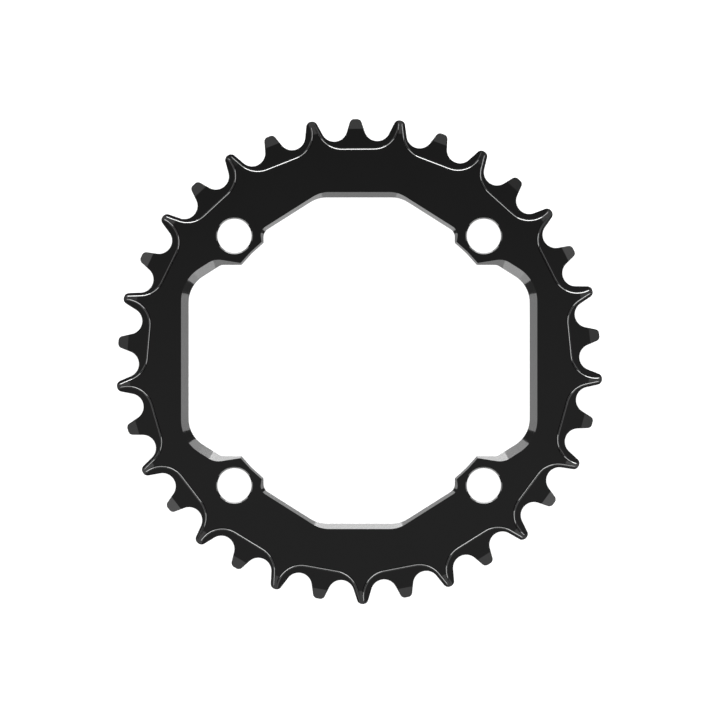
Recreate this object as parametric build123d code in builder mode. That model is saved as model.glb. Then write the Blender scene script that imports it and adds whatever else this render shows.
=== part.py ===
from build123d import *
import os
from math import cos, pi, radians, sin, sqrt, tan

# One-piece aluminium chainring for a single-ring bicycle crank, milled from plate.
# Narrow and wide teeth alternate, four lobes carry the bolts, and the middle is open.
# Frame: the origin is the centre of the bolt circle, half way through the plate,
# where the middle of the chain runs. The front face looks up along +Z.
# Lengths are in millimetres, angles in degrees, counted anticlockwise from +X.

# Chain and teeth, whose tips stand above the pitch circle
chain_pitch = 12.7
tooth_count = 34
roller_seat_radius = 3.88
flank_angle = 17.0
narrow_tip_height = 2.43
wide_tip_height = 3.03
narrow_tip_round = 1.4
wide_tip_round = 1.6
first_narrow_tooth = 90.844

# Plate, and the relief milled beside the teeth on both faces
plate_thickness = 3.7
narrow_tooth_thickness = 2.0
relief_wall_slope = 45.0
relief_below_pitch = 6.82
relief_root_length = 9.4
relief_corner_radius = 7.7
relief_turn = 0.5
leading_wall_lean = 10.5
trailing_wall_lean = 28.0

# Sloped ends of the teeth
tip_slope = 12.0
narrow_slope_length = 2.9
wide_slope_length = 3.9

# Bolt holes in the lobes, and the nut seats on the back
bolt_circle = 104.0
bolt_count = 4
first_bolt = 45.0
bolt_hole = 10.1
bolt_hole_chamfer = 0.3
nut_seat = 12.6
nut_seat_depth = 1.2

# Central opening and lobes, measured in from the radius of the bolt circle
side_inset = 1.7
top_inset = 3.9
diagonal_angle = 32.3
side_diagonal_inset = 6.4
top_diagonal_inset = 4.85
opening_corner = 9.0
lobe_half_width = 8.5696
lobe_reach = 7.3
lobe_corner = 2.8

# Bevel that runs from the front face down into the opening
bevel_slope = 40.0
bevel_side_width = 2.2
bevel_top_width = 1.55
bevel_side_diagonal_width = 2.5
bevel_top_diagonal_width = 0.95
bevel_side_corner = 11.4
bevel_tip_width = 0.55
bevel_flare = 8.9
bevel_side_lobe_corner = 5.5
bevel_top_lobe_corner = 3.0

# Derived sizes
tooth_angle = 360.0 / tooth_count
tooth_pairs = tooth_count // 2
pitch_radius = chain_pitch / 2 / sin(pi / tooth_count)
narrow_tip_radius = pitch_radius + narrow_tip_height
wide_tip_radius = pitch_radius + wide_tip_height
relief_root = pitch_radius - relief_below_pitch
bolt_radius = bolt_circle / 2
opening_side = bolt_radius - side_inset
opening_top = bolt_radius - top_inset
side_diagonal = bolt_radius - side_diagonal_inset
top_diagonal = bolt_radius - top_diagonal_inset
lobe_side = bolt_radius * sin(radians(first_bolt)) - lobe_half_width
lobe_tip_radius = bolt_radius - lobe_reach
front_height = plate_thickness / 2
floor_height = narrow_tooth_thickness / 2
relief_depth = front_height - floor_height
cutter_reach = wide_tip_radius + plate_thickness
cutter_rise = plate_thickness
foot_across = pitch_radius * sin(pi / tooth_count) - roller_seat_radius * cos(radians(flank_angle))
foot_out = pitch_radius * cos(pi / tooth_count) - roller_seat_radius * sin(radians(flank_angle))


def polar(radius, angle):
    """A point this far from the axis, in this direction."""
    return (radius * cos(radians(angle)), radius * sin(radians(angle)))


def tooth_plane(axis, height):
    """Sketch plane of a tooth: X runs clockwise across it, Y runs out along it."""
    out_x, out_y = polar(1, axis)
    return Plane(origin=(0, 0, height), x_dir=(out_y, -out_x, 0), z_dir=(0, 0, 1))


def beside_tooth(axis, across, out):
    """A point in the ring's frame, given clockwise across a tooth and out along it."""
    out_x, out_y = polar(1, axis)
    return (out * out_x + across * out_y, out * out_y - across * out_x)


def flank_half_width(out):
    """Half the width of a tooth where its flanks are straight."""
    return foot_across - (out - foot_out) * tan(radians(flank_angle))


# Outline of the teeth: roller seats joined by straight flanks and rounded tips.
with BuildSketch(Plane.XY) as tooth_outline:
    with BuildLine():
        for tooth in range(tooth_count):
            axis = first_narrow_tooth - tooth * tooth_angle
            wide = tooth % 2 == 1
            tip = wide_tip_radius if wide else narrow_tip_radius
            FilletPolyline(
                beside_tooth(axis, -foot_across, foot_out),
                beside_tooth(axis, -flank_half_width(tip), tip),
                beside_tooth(axis, flank_half_width(tip), tip),
                beside_tooth(axis, foot_across, foot_out),
                radius=wide_tip_round if wide else narrow_tip_round,
            )
            ThreePointArc(
                beside_tooth(axis, foot_across, foot_out),
                polar(pitch_radius - roller_seat_radius, axis - tooth_angle / 2),
                beside_tooth(axis - tooth_angle, -foot_across, foot_out),
            )
    make_face()

# The relief beside a narrow tooth leaves that tooth thin and stands the next wide
# tooth up as a rib. Its wall slopes down from the face of the plate to the floor.
# The outline, where the wall starts, is drawn in a frame turned a little clockwise
# from the narrow tooth: a straight root, a corner at each end of it, and two sides
# that lean the same way. The chamfer then slopes the walls, out to the smaller floor.
with BuildPart() as relief_cutter:
    with BuildSketch(tooth_plane(first_narrow_tooth - relief_turn, floor_height)):
        with BuildLine():
            root = Line(
                (-relief_root_length / 2, relief_root), (relief_root_length / 2, relief_root)
            )
            leading_corner = JernArc(
                root @ 1, root % 1, relief_corner_radius, 90 + leading_wall_lean
            )
            trailing_corner = JernArc(
                root @ 0, -(root % 0), relief_corner_radius, trailing_wall_lean - 90
            )
            leading_wall = PolarLine(
                leading_corner @ 1, cutter_reach - (leading_corner @ 1).Y,
                direction=leading_corner % 1, length_mode=LengthMode.VERTICAL,
            )
            trailing_wall = PolarLine(
                trailing_corner @ 1, cutter_reach - (trailing_corner @ 1).Y,
                direction=trailing_corner % 1, length_mode=LengthMode.VERTICAL,
            )
            Line(leading_wall @ 1, trailing_wall @ 1)
        make_face()
    extrude(amount=cutter_rise)
    floor_edges = relief_cutter.edges().group_by(Axis.Z)[0]
    outer_edge = floor_edges.sort_by_distance((0, 0, 0))[-1]
    wall_edges = floor_edges - ShapeList([outer_edge])
    chamfer(wall_edges, relief_depth / tan(radians(relief_wall_slope)))


def tip_cutter(axis, tip_radius, slope_length, face_height):
    """A wedge that slopes the last stretch of a tooth away from a face."""
    out_x, out_y = polar(1, axis)
    side_plane = Plane(origin=(0, 0, 0), x_dir=(out_x, out_y, 0), z_dir=(out_y, -out_x, 0))
    slope_start = tip_radius - slope_length
    drop = (cutter_reach - slope_start) * tan(radians(tip_slope))
    with BuildPart() as cutter:
        with BuildSketch(side_plane):
            with BuildLine():
                Polyline(
                    (slope_start, face_height),
                    (cutter_reach, face_height - drop),
                    (cutter_reach, face_height + cutter_rise),
                    (slope_start, face_height + cutter_rise),
                    close=True,
                )
            make_face()
        extrude(amount=chain_pitch / 2, both=True)
    return cutter.part


wide_tip_cutter = tip_cutter(
    first_narrow_tooth - tooth_angle, wide_tip_radius, wide_slope_length, front_height
)
narrow_tip_cutter = tip_cutter(
    first_narrow_tooth, narrow_tip_radius, narrow_slope_length, floor_height
)
front_cutters = [relief_cutter.part, wide_tip_cutter, narrow_tip_cutter]
back_cutters = [cutter.mirror(Plane.XY) for cutter in front_cutters]


def lobe_shoulder(tip_radius, half_width):
    """How far out a lobe's corner stands, where its side meets its rounded tip."""
    return sqrt(tip_radius**2 - half_width**2)


def opening_outline(side, top, side_line, top_line, lobe_tip, lobe_line, flare, rounds):
    """A sketch of the opening, drawn as one quarter and mirrored.

    The straights lie at side and top, the diagonals at side_line and top_line, and
    the lobe between them has its sides at lobe_line, flared by this angle. The
    rounds are those of the four corners, from the side to the top.
    """
    across = sin(radians(diagonal_angle))
    along = cos(radians(diagonal_angle))
    slope = tan(radians(flare))
    shoulder = lobe_shoulder(lobe_tip, lobe_line)
    lobe_base = lobe_line - shoulder * slope
    side_root_x = (side_line - lobe_base * along) / (across + slope * along)
    top_root_y = (top_line - lobe_base * across) / (along + slope * across)
    with BuildSketch() as outline:
        with BuildLine():
            FilletPolyline(
                (side, 0),
                (side, (side_line - side * across) / along),
                (side_root_x, lobe_base + side_root_x * slope),
                (shoulder, lobe_line),
                radius=rounds[:2],
            )
            ThreePointArc((shoulder, lobe_line), polar(lobe_tip, 45), (lobe_line, shoulder))
            FilletPolyline(
                (lobe_line, shoulder),
                (lobe_base + top_root_y * slope, top_root_y),
                ((top_line - top * along) / across, top),
                (0, top),
                radius=rounds[2:],
            )
            mirror(about=Plane.YZ)
            mirror(about=Plane.XZ)
        make_face()
    return outline.sketch


# Widest bevel, which sets how deep its tapered cutter goes.
bevel_width = max(
    bevel_side_width, bevel_top_width, bevel_side_diagonal_width, bevel_top_diagonal_width
)
bevel_depth = (bevel_width + bevel_tip_width / 2) * tan(radians(bevel_slope))

with BuildPart() as chainring:
    add(tooth_outline.sketch)
    extrude(amount=front_height, both=True)
    with PolarLocations(0, tooth_pairs):
        add(front_cutters + back_cutters, mode=Mode.SUBTRACT)

    # Central opening, straight through the plate.
    with BuildSketch(Plane.XY):
        add(opening_outline(
            opening_side, opening_top, side_diagonal, top_diagonal,
            lobe_tip_radius, lobe_side, 0,
            (opening_corner, lobe_corner, lobe_corner, opening_corner),
        ))
    extrude(amount=front_height, both=True, mode=Mode.SUBTRACT)

    # Bevel on the front, wide at the straights and narrow round the lobes.
    with BuildSketch(Plane.XY.offset(front_height)):
        add(opening_outline(
            opening_side + bevel_side_width, opening_top + bevel_top_width,
            side_diagonal + bevel_side_diagonal_width, top_diagonal + bevel_top_diagonal_width,
            lobe_tip_radius + bevel_tip_width, lobe_side + bevel_tip_width, bevel_flare,
            (bevel_side_corner, bevel_side_lobe_corner, bevel_top_lobe_corner, opening_corner),
        ))
    extrude(amount=-bevel_depth, taper=90 - bevel_slope, mode=Mode.SUBTRACT)

    # Bolt holes through the lobes, with chamfered front rims, and seats for the nuts on the back.
    with BuildSketch(Plane.XY):
        with PolarLocations(bolt_radius, bolt_count, start_angle=first_bolt):
            Circle(bolt_hole / 2)
    extrude(amount=front_height, both=True, mode=Mode.SUBTRACT)
    with BuildSketch(Plane.XY.offset(front_height)):
        with PolarLocations(bolt_radius, bolt_count, start_angle=first_bolt):
            Circle(bolt_hole / 2 + bolt_hole_chamfer)
    extrude(amount=-bolt_hole_chamfer, taper=45, mode=Mode.SUBTRACT)
    with BuildSketch(Plane.XY.offset(-front_height)):
        with PolarLocations(bolt_radius, bolt_count, start_angle=first_bolt):
            Circle(nut_seat / 2)
    extrude(amount=nut_seat_depth, mode=Mode.SUBTRACT)

chainring.part.label = "chainring"
os.makedirs("parts", exist_ok=True)
export_step(chainring.part, "parts/chainring.step")
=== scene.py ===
from math import ceil, cos, pi, radians, sin, sqrt, tan

import bmesh
import bpy
from mathutils import Matrix, Vector


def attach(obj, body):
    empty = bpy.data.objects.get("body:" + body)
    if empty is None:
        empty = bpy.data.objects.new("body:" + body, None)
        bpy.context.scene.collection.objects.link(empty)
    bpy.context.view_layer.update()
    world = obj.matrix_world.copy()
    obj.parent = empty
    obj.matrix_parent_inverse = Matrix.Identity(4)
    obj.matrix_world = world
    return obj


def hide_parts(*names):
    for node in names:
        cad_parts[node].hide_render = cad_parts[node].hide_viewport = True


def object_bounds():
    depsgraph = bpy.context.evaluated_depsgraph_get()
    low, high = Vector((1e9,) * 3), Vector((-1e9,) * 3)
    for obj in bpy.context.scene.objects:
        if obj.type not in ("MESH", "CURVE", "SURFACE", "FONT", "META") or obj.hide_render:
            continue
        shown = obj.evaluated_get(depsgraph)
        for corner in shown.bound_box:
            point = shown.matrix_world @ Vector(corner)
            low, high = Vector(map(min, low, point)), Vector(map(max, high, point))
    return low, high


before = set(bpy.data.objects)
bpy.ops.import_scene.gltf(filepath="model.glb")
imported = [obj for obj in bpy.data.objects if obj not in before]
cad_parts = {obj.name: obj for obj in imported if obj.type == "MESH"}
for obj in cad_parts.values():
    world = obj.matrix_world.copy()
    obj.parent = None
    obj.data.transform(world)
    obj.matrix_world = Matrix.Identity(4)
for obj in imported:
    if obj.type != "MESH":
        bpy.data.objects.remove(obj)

cad_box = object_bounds()


# Toothed blank
# The ring starts as a disc of aluminium plate. Narrow and wide teeth alternate round
# its edge, with a roller seat milled between each pair. It is drawn in millimetres,
# one narrow tooth to the next, with the first narrow tooth along +Y.
PITCH = 12.7
TEETH = 34
SEAT_ROUND = 3.88
FLANK = radians(17.0)
NARROW_TIP = 71.25
WIDE_TIP = 71.85
NARROW_ROUND = 1.4
WIDE_ROUND = 1.6
FACE = 1.85
STEP = 2 * pi / TEETH
ARC_STEP = radians(6.0)
MERGE = 1e-3


def line_to(bm, vert, point):
    """Draw an edge on from a vertex."""
    end = bmesh.ops.extrude_vert_indiv(bm, verts=[vert])["verts"][0]
    end.co = point
    return end


def arc_to(bm, vert, centre, turn):
    """Draw an arc on from a vertex, about a centre."""
    drawn = bmesh.ops.spin(
        bm, geom=[vert], cent=centre, axis=(0, 0, 1), angle=turn,
        steps=max(2, ceil(abs(turn) / ARC_STEP)),
    )
    return drawn["geom_last"][0]


def rounded_face(corners):
    """A flat face with rounded corners, each given as x, y and its radius."""
    bm = bmesh.new()
    points = [Vector((x, y, 0)) for x, y, _ in corners]
    pen = None
    for index, corner in enumerate(points):
        radius = corners[index][2]
        back = (points[index - 1] - corner).normalized()
        ahead = (points[(index + 1) % len(points)] - corner).normalized()
        half = back.angle(ahead) / 2
        start = corner + back * (radius / tan(half))
        pen = line_to(bm, pen, start) if pen else bm.verts.new(start)
        if radius:
            turn = (pi - 2 * half) * (1 if ahead.cross(back).z > 0 else -1)
            centre = corner + (back + ahead).normalized() * (radius / sin(half))
            pen = arc_to(bm, pen, centre, turn)
    bm.verts.ensure_lookup_table()
    bmesh.ops.contextual_create(bm, geom=[pen, bm.verts[0]])
    bmesh.ops.remove_doubles(bm, verts=bm.verts, dist=MERGE)
    bmesh.ops.contextual_create(bm, geom=bm.edges[:])
    bmesh.ops.recalc_face_normals(bm, faces=bm.faces)
    return bm


def prism(corners, low, high):
    """A closed block between two heights, with a rounded outline."""
    bm = rounded_face(corners)
    bmesh.ops.translate(bm, verts=bm.verts, vec=(0, 0, low))
    raised = bmesh.ops.extrude_face_region(bm, geom=bm.faces[:])["geom"]
    raised = [item for item in raised if isinstance(item, bmesh.types.BMVert)]
    bmesh.ops.translate(bm, verts=raised, vec=(0, 0, high - low))
    bmesh.ops.recalc_face_normals(bm, faces=bm.faces)
    return bm


def across_tooth(axis, across, out, radius=0.0):
    """A corner beside a tooth, whose axis is turned clockwise from +Y."""
    return (
        across * cos(axis) + out * sin(axis),
        out * cos(axis) - across * sin(axis),
        radius,
    )


pitch_radius = PITCH / 2 / sin(STEP / 2)
foot_across = pitch_radius * sin(STEP / 2) - SEAT_ROUND * cos(FLANK)
foot_out = pitch_radius * cos(STEP / 2) - SEAT_ROUND * sin(FLANK)
flank_reach = foot_across + foot_out * tan(FLANK)
gap_out = flank_reach / (tan(STEP / 2) + tan(FLANK))
gap_across = gap_out * tan(STEP / 2)
narrow_half = flank_reach - NARROW_TIP * tan(FLANK)
wide_half = flank_reach - WIDE_TIP * tan(FLANK)
slice_of_blank = prism(
    [
        (0, 0, 0),
        across_tooth(0, 0, NARROW_TIP),
        across_tooth(0, narrow_half, NARROW_TIP, NARROW_ROUND),
        across_tooth(0, gap_across, gap_out, SEAT_ROUND),
        across_tooth(STEP, -wide_half, WIDE_TIP, WIDE_ROUND),
        across_tooth(STEP, wide_half, WIDE_TIP, WIDE_ROUND),
        across_tooth(STEP, gap_across, gap_out, SEAT_ROUND),
        across_tooth(2 * STEP, -narrow_half, NARROW_TIP, NARROW_ROUND),
        across_tooth(2 * STEP, 0, NARROW_TIP),
    ],
    -FACE, FACE,
)


# Relief beside the teeth
# A ball-nosed cutter thins each narrow tooth from both faces and leaves the wide teeth
# standing as ribs. It leaves a sharp edge on the plate and a hollow round at the floor.
FLOOR = 1.0
RELIEF_ROOT = 61.95
ROOT_LENGTH = 9.4
RELIEF_CORNER = 7.75
RELIEF_TURN = radians(0.5)
LEADING_TURN = radians(100.5)
TRAILING_TURN = radians(62.7)
HOLLOW = 0.87
HOLLOW_STEPS = 12
MILLED_OUT = 78.0
CLEAR = 2 * FACE
SAME = 1e-4


def both_faces(bm):
    """Add the same shape again, mirrored to the other face of the plate."""
    bmesh.ops.mirror(bm, geom=bm.verts[:] + bm.edges[:] + bm.faces[:], axis="Z", merge_dist=-1)
    bmesh.ops.recalc_face_normals(bm, faces=bm.faces)
    return bm


def turned(bm, angle):
    """A copy of a shape, turned clockwise about the ring's axis."""
    copy = bm.copy()
    bmesh.ops.rotate(copy, verts=copy.verts, cent=(0, 0, 0), matrix=Matrix.Rotation(-angle, 3, "Z"))
    return copy


leading_across = ROOT_LENGTH / 2 + RELIEF_CORNER * tan(LEADING_TURN / 2)
trailing_across = ROOT_LENGTH / 2 + RELIEF_CORNER * tan(TRAILING_TURN / 2)
rise = MILLED_OUT - RELIEF_ROOT
relief = prism(
    [
        (-trailing_across, RELIEF_ROOT, RELIEF_CORNER),
        (leading_across, RELIEF_ROOT, RELIEF_CORNER),
        (leading_across + rise / tan(LEADING_TURN), MILLED_OUT, 0),
        (-trailing_across - rise / tan(TRAILING_TURN), MILLED_OUT, 0),
    ],
    FLOOR, CLEAR,
)
floor_edges = [
    edge for edge in relief.edges
    if all(abs(v.co.z - FLOOR) < SAME for v in edge.verts)
    and any(v.co.y < MILLED_OUT - SAME for v in edge.verts)
]
bmesh.ops.bevel(
    relief, geom=floor_edges, offset=HOLLOW, offset_type="OFFSET", segments=HOLLOW_STEPS,
    profile=0.5, affect="EDGES", material=-1, clamp_overlap=False,
)
relief = both_faces(turned(relief, RELIEF_TURN))


# Sloped tooth ends
# The last few millimetres of every tooth slope away from both faces, so that the
# chain slips over them. The narrow teeth slope from the floor of the relief.
TIP_SLOPE = radians(13.0)
NARROW_SLOPE = 2.9
WIDE_SLOPE = 3.9


def end_cutter(start, height):
    """A block with a sloping underside, over the end of the tooth along +Y."""
    bm = bmesh.new()
    bmesh.ops.create_cube(bm, size=PITCH)
    bmesh.ops.translate(bm, verts=bm.verts, vec=(0, start + PITCH / 2, height + PITCH / 2))
    bmesh.ops.rotate(
        bm, verts=bm.verts, cent=(0, start, height), matrix=Matrix.Rotation(-TIP_SLOPE, 3, "X")
    )
    return both_faces(bm)


narrow_end = end_cutter(NARROW_TIP - NARROW_SLOPE, FLOOR)
wide_end = end_cutter(WIDE_TIP - WIDE_SLOPE, FACE)


def carved(blank, cutters):
    """The blank with each cutter's shape taken out of it in turn."""
    shapes = []
    for bm in [blank, *cutters]:
        mesh = bpy.data.meshes.new("shape")
        bm.to_mesh(mesh)
        bm.free()
        shape = bpy.data.objects.new("shape", mesh)
        bpy.context.scene.collection.objects.link(shape)
        shapes.append(shape)
    for cutter in shapes[1:]:
        cut = shapes[0].modifiers.new("cut", "BOOLEAN")
        cut.operation = "DIFFERENCE"
        cut.solver = "EXACT"
        cut.object = cutter
    result = bmesh.new()
    result.from_object(shapes[0], bpy.context.evaluated_depsgraph_get())
    for shape in shapes:
        bpy.data.meshes.remove(shape.data)
    return result


toothed = carved(
    slice_of_blank,
    [
        relief.copy(), turned(relief, 2 * STEP),
        narrow_end.copy(), turned(wide_end, STEP), turned(narrow_end, 2 * STEP),
    ],
)
far_side = Vector((cos(2 * STEP), -sin(2 * STEP), 0))
cut_faces = [
    face for face in toothed.faces
    if all(abs(v.co.x) < SAME for v in face.verts)
    or all(abs(v.co.dot(far_side)) < SAME for v in face.verts)
]
bmesh.ops.delete(toothed, geom=cut_faces, context="FACES")
bmesh.ops.spin(
    toothed, geom=toothed.verts[:] + toothed.edges[:] + toothed.faces[:],
    cent=(0, 0, 0), axis=(0, 0, 1), angle=2 * pi, steps=TEETH // 2, use_duplicate=True,
)
bmesh.ops.remove_doubles(toothed, verts=toothed.verts, dist=MERGE)


# Central opening
# The middle of the ring is open for the crank. Straight sides and diagonals run
# between the four lobes, and a bevel leads from the front face down into it.
OPENING_SIDE = 50.3
OPENING_TOP = 48.1
DIAGONAL = radians(32.3)
SIDE_DIAGONAL = 45.6
TOP_DIAGONAL = 47.15
OPENING_CORNER = 9.0
LOBE_SIDE = 28.2
LOBE_TIP = 44.7
LOBE_CORNER = 2.8
BEVEL_SLOPE = radians(40.0)
BEVEL_SIDE = 52.5
BEVEL_TOP = 49.65
BEVEL_DIAGONAL = 48.1
BEVEL_SIDE_CORNER = 11.4
BEVEL_FLARE = radians(8.9)
BEVEL_LOBE = 0.55
BEVEL_SIDE_LOBE_CORNER = 5.5
BEVEL_TOP_LOBE_CORNER = 3.0
BEVEL_WIDTH = 2.775


def opening_corners(side, top, side_line, top_line, lobe_tip, lobe_side, flare, rounds):
    """The corners of the opening: one quarter, from the side to the top, mirrored twice."""
    across, along, slope = sin(DIAGONAL), cos(DIAGONAL), tan(flare)
    shoulder = sqrt(lobe_tip**2 - lobe_side**2)
    lobe_base = lobe_side - shoulder * slope
    side_root = (side_line - lobe_base * along) / (across + slope * along)
    top_root = (top_line - lobe_base * across) / (along + slope * across)
    tip = lobe_tip**2 / (shoulder + lobe_side)
    quarter = [
        (side, (side_line - side * across) / along, rounds[0]),
        (side_root, lobe_base + side_root * slope, rounds[1]),
        (shoulder, lobe_side, 0),
        (tip, tip, lobe_tip),
        (lobe_side, shoulder, 0),
        (lobe_base + top_root * slope, top_root, rounds[2]),
        ((top_line - top * along) / across, top, rounds[3]),
    ]
    half = quarter + [(-x, y, r) for x, y, r in reversed(quarter)]
    return half + [(-x, -y, r) for x, y, r in half]


opening = prism(
    opening_corners(
        OPENING_SIDE, OPENING_TOP, SIDE_DIAGONAL, TOP_DIAGONAL, LOBE_TIP, LOBE_SIDE, 0,
        (OPENING_CORNER, LOBE_CORNER, LOBE_CORNER, OPENING_CORNER),
    ),
    -CLEAR, CLEAR,
)
bevel = prism(
    opening_corners(
        BEVEL_SIDE, BEVEL_TOP, BEVEL_DIAGONAL, BEVEL_DIAGONAL,
        LOBE_TIP + BEVEL_LOBE, LOBE_SIDE + BEVEL_LOBE, BEVEL_FLARE,
        (BEVEL_SIDE_CORNER, BEVEL_SIDE_LOBE_CORNER, BEVEL_TOP_LOBE_CORNER, OPENING_CORNER),
    ),
    FACE, CLEAR,
)
bevel_floor = [face for face in bevel.faces if face.normal.z < -cos(BEVEL_SLOPE)]
bmesh.ops.inset_region(
    bevel, faces=bevel_floor, thickness=BEVEL_WIDTH, depth=BEVEL_WIDTH * tan(BEVEL_SLOPE),
    use_boundary=True, use_even_offset=True,
)


# Bolt holes
# Each lobe is drilled for a chainring bolt. The front rim has a small chamfer, and
# the nut sits in a round seat on the back.
BOLT_RADIUS = 52.0
HOLE_RADIUS = 5.05
RIM_WIDTH = 0.36
RIM_DEPTH = 0.3
SEAT_RADIUS = 6.3
SEAT_DEPTH = 1.2
HOLE_STEPS = 72
drill = bmesh.new()
pen = drill.verts.new((0, 0, CLEAR))
for radius, height in (
    (HOLE_RADIUS + RIM_WIDTH * (RIM_DEPTH + CLEAR - FACE) / RIM_DEPTH, CLEAR),
    (HOLE_RADIUS, FACE - RIM_DEPTH),
    (HOLE_RADIUS, SEAT_DEPTH - FACE),
    (SEAT_RADIUS, SEAT_DEPTH - FACE),
    (SEAT_RADIUS, -CLEAR),
    (0, -CLEAR),
):
    pen = line_to(drill, pen, (radius, 0, height))
bmesh.ops.spin(
    drill, geom=drill.verts[:] + drill.edges[:], cent=(0, 0, 0), axis=(0, 0, 1),
    angle=2 * pi, steps=HOLE_STEPS, use_merge=True,
)
bmesh.ops.remove_doubles(drill, verts=drill.verts, dist=SAME)
bmesh.ops.recalc_face_normals(drill, faces=drill.faces)
drills = []
for quarter in range(4):
    hole = drill.copy()
    bmesh.ops.translate(hole, verts=hole.verts, vec=(BOLT_RADIUS, 0, 0))
    drills.append(turned(hole, pi / 4 + quarter * pi / 2))


# Chainring
# The finished ring is one piece, milled all over, then black anodised. The first
# narrow tooth stands a little anticlockwise of +Y. From here on it is in metres.
FIRST_TOOTH = radians(0.844)
CREASE = radians(9.5)
MILLIMETRE = 0.001
ring_shape = carved(turned(toothed, -FIRST_TOOTH), [opening, bevel, *drills])
bmesh.ops.scale(ring_shape, verts=ring_shape.verts, vec=(MILLIMETRE,) * 3)
for edge in ring_shape.edges:
    edge.smooth = edge.calc_face_angle(pi) < CREASE
for face in ring_shape.faces:
    face.smooth = True
ring_mesh = bpy.data.meshes.new("milled_ring")
ring_shape.to_mesh(ring_mesh)
ring = bpy.data.objects.new("milled_ring", ring_mesh)
bpy.context.scene.collection.objects.link(ring)
shading = ring.modifiers.new("even_shading", "WEIGHTED_NORMAL")
shading.keep_sharp = True


class Socket:
    """A shader socket that can be used in a Python expression."""

    def __init__(self, socket):
        self.socket = socket

    def combined(self, operation, first, second):
        maths = self.socket.id_data.nodes.new("ShaderNodeMath")
        maths.operation = operation
        for slot, value in zip(maths.inputs, (first, second)):
            connect(slot, value)
        return Socket(maths.outputs[0])

    def __add__(self, other):
        return self.combined("ADD", self, other)

    def __mul__(self, other):
        return self.combined("MULTIPLY", self, other)

    __radd__ = __add__
    __rmul__ = __mul__


def connect(slot, value):
    """Link a socket to another, or set it to a value."""
    if isinstance(value, Socket):
        slot.id_data.links.new(value.socket, slot)
    else:
        slot.default_value = value


def add_node(material, kind, settings, inputs, output=0):
    """Add a node, set it up and link its inputs, and give back one of its outputs."""
    made = material.node_tree.nodes.new(kind)
    for name, value in settings.items():
        setattr(made, name, value)
    for name, value in inputs.items():
        connect(made.inputs[name], value)
    return Socket(made.outputs[output])


def new_material(name):
    """A material with an empty node tree."""
    material = bpy.data.materials.new(name)
    material.use_nodes = True
    material.node_tree.nodes.clear()
    return material


# Black anodising reflects about a twentieth of the light head on. Its gloss is a
# little uneven, with a very fine grain.
GRAIN_SCALE = 4200.0
GRAIN_STRENGTH = 0.003
GRAIN_HEIGHT = 0.00002
CLOUD_SCALE = 55.0
DARK_GLOSS = (0.048, 0.048, 0.048, 1)
LIGHT_GLOSS = (0.052, 0.052, 0.052, 1)
EDGE_TINT = (0.4, 0.4, 0.4, 1)
ROUGHNESS = 0.06
CLOUD_ROUGHNESS = 0.03
GRAIN_ROUGHNESS = 0.02
black = new_material("black_anodising")
place = add_node(black, "ShaderNodeTexCoord", {}, {}, "Object")
grain = add_node(
    black, "ShaderNodeTexNoise", {}, {"Vector": place, "Scale": GRAIN_SCALE, "Detail": 2.0}, "Fac"
)
clouds = add_node(
    black, "ShaderNodeTexNoise", {}, {"Vector": place, "Scale": CLOUD_SCALE, "Detail": 3.0}, "Fac"
)
tone = add_node(
    black, "ShaderNodeMix", {"data_type": "RGBA"}, {0: clouds, 6: DARK_GLOSS, 7: LIGHT_GLOSS}, 2
)
fine_relief = add_node(
    black, "ShaderNodeBump", {},
    {"Height": grain, "Strength": GRAIN_STRENGTH, "Distance": GRAIN_HEIGHT},
)
surface = add_node(
    black, "ShaderNodeBsdfPrincipled", {},
    {
        "Base Color": tone, "Metallic": 1.0, "Specular Tint": EDGE_TINT,
        "Roughness": ROUGHNESS + CLOUD_ROUGHNESS * clouds + GRAIN_ROUGHNESS * grain,
        "Normal": fine_relief,
    },
)
finish_output = black.node_tree.nodes.new("ShaderNodeOutputMaterial")
connect(finish_output.inputs["Surface"], surface)
ring_mesh.materials.append(black)
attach(ring, "root")
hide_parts("chainring")


# Studio floor
# The ring lies on its back on a plain white light table, which shines so brightly
# that it shows no shadow.
FLOOR_SIZE = 6.0
FLOOR_GREY = (0.12, 0.12, 0.12, 1)
FLOOR_LIGHT = 0.97
floor_shape = bmesh.new()
bmesh.ops.create_grid(floor_shape, x_segments=1, y_segments=1, size=FLOOR_SIZE / 2)
bmesh.ops.translate(floor_shape, verts=floor_shape.verts, vec=(0, 0, cad_box[0].z))
floor_mesh = bpy.data.meshes.new("white_floor")
floor_shape.to_mesh(floor_mesh)
floor = bpy.data.objects.new("white_floor", floor_mesh)
bpy.context.scene.collection.objects.link(floor)
white = new_material("white_floor")
glow = add_node(
    white, "ShaderNodeBsdfPrincipled", {},
    {
        "Base Color": FLOOR_GREY, "Roughness": 0.9,
        "Emission Color": (1, 1, 1, 1), "Emission Strength": FLOOR_LIGHT,
    },
)
floor_output = white.node_tree.nodes.new("ShaderNodeOutputMaterial")
connect(floor_output.inputs["Surface"], glow)
floor_mesh.materials.append(white)


# Studio light
# Softboxes stand round the ring in rows, with dark gaps between some of them. The
# bevel and the hollow rounds mirror the low rows, the tooth ends the top one.
LIGHT_DISTANCE = 1.5
BEVEL_ROW = (3, 15)
ROUND_ROW = (15, 29)
FOOT_ROW = (49, 58.5)
END_ROW = (58.5, 73)


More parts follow.
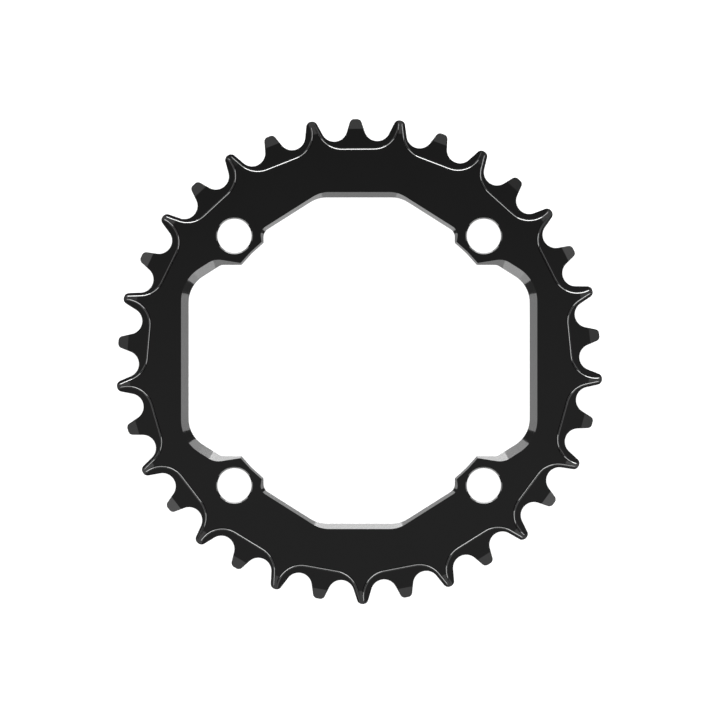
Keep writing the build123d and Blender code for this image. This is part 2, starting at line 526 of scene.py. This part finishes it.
def softbox(start, end, low, high, radiance):
    """An upright softbox, between two azimuths clockwise from +Y and two elevations."""
    turn = radians(start + end) / 2
    bottom, top = (LIGHT_DISTANCE * tan(radians(angle)) for angle in (low, high))
    lamp = bpy.data.lights.new("softbox", "AREA")
    lamp.shape = "RECTANGLE"
    lamp.size = 2 * LIGHT_DISTANCE * tan(radians(end - start) / 2)
    lamp.size_y = top - bottom
    lamp.energy = radiance * pi * lamp.size * lamp.size_y
    box = bpy.data.objects.new("softbox", lamp)
    box.location = (LIGHT_DISTANCE * sin(turn), LIGHT_DISTANCE * cos(turn), (bottom + top) / 2)
    box.rotation_euler = (pi / 2, 0, pi - turn)
    box.visible_camera = False
    bpy.context.scene.collection.objects.link(box)


for start, end, radiance in (
    (-27, 29, 11.1), (29, 31.8, 5.25), (31.8, 35, 4.5), (35, 52, 4.7), (52, 72, 0.12),
    (72, 102, 3.15), (102, 124, 0.07), (124, 138, 4.6), (138, 165, 5.4), (165, 195, 3.15),
    (195, 222, 5.4), (222, 236, 4.6), (236, 258, 0.07), (258, 288, 3.15), (288, 309, 0.12),
    (309, 325, 4.7), (325, 328.2, 4.55), (328.2, 333, 4.85),
):
    softbox(start, end, *BEVEL_ROW, radiance)
for start, end, radiance in (
    (-27, 29, 54.0), (29, 50, 14.3), (50, 74, 0.3), (74, 101, 15.0), (101, 126.5, 0.9),
    (126.5, 140, 16.0), (140, 165, 21.5), (165, 195, 10.6), (195, 220, 21.5), (220, 233.5, 13.5),
    (233.5, 259, 0.9), (259, 287, 11.0), (287, 311, 0.3), (311, 333, 13.6),
):
    softbox(start, end, *ROUND_ROW, radiance)
for start, end, foot, tooth_end in (
    (-26, 26, 0.55, 0.7), (26, 36, 0.2, 0.2), (36, 47, 0.32, 0.32), (47, 56, 2.0, 0.75),
    (56, 70, 3.3, 1.1), (70, 100, 0.6, 0.57), (100, 110, 2.8, 0.52), (110, 121, 2.3, 0.88),
    (121, 132, 1.3, 1.4), (132, 228, 0.75, 0.65), (228, 239, 1.3, 1.4), (239, 250, 2.3, 0.88),
    (250, 260, 2.8, 0.52), (260, 290, 0.6, 0.57), (290, 304, 3.3, 1.1), (304, 321, 1.8, 0.7),
    (321, 334, 0.15, 0.15),
):
    softbox(start, end, *FOOT_ROW, foot)
    softbox(start, end, *END_ROW, tooth_end)

# The flat face mirrors the ceiling, which is darker towards +Y.
CEILING_START = -0.005
CEILING_END = 0.026
CEILING_NEAR = 0.335
CEILING_FAR = 0.195
room = bpy.data.worlds.new("studio")
bpy.context.scene.world = room
room.use_nodes = True
room.node_tree.nodes.clear()
direction = add_node(room, "ShaderNodeTexCoord", {}, {}, "Generated")
across_room = add_node(room, "ShaderNodeSeparateXYZ", {}, {"Vector": direction}, "Y")
ceiling = add_node(
    room, "ShaderNodeMapRange", {"interpolation_type": "SMOOTHSTEP"},
    {
        "Value": across_room, "From Min": CEILING_START, "From Max": CEILING_END,
        "To Min": CEILING_NEAR, "To Max": CEILING_FAR,
    },
)
backdrop = add_node(
    room, "ShaderNodeBackground", {}, {"Color": (1, 1, 1, 1), "Strength": ceiling}
)
room_output = room.node_tree.nodes.new("ShaderNodeOutputWorld")
connect(room_output.inputs["Surface"], backdrop)
bpy.context.scene.view_settings.view_transform = "Standard"


# Camera
# The photograph was taken from straight above, with a long lens, and shows the ring
# a hair off centre.
PHOTO_WIDTH = 0.2124
CAMERA_HEIGHT = 2.5
CAMERA_X = 0.00025
CAMERA_Y = 0.00016
SENSOR_WIDTH = 36.0
camera_data = bpy.data.cameras.new("camera")
camera_data.sensor_width = SENSOR_WIDTH
camera_data.lens = SENSOR_WIDTH * CAMERA_HEIGHT / PHOTO_WIDTH
camera = bpy.data.objects.new("camera", camera_data)
camera.location = (CAMERA_X, CAMERA_Y, CAMERA_HEIGHT)
bpy.context.scene.collection.objects.link(camera)
bpy.context.scene.camera = camera
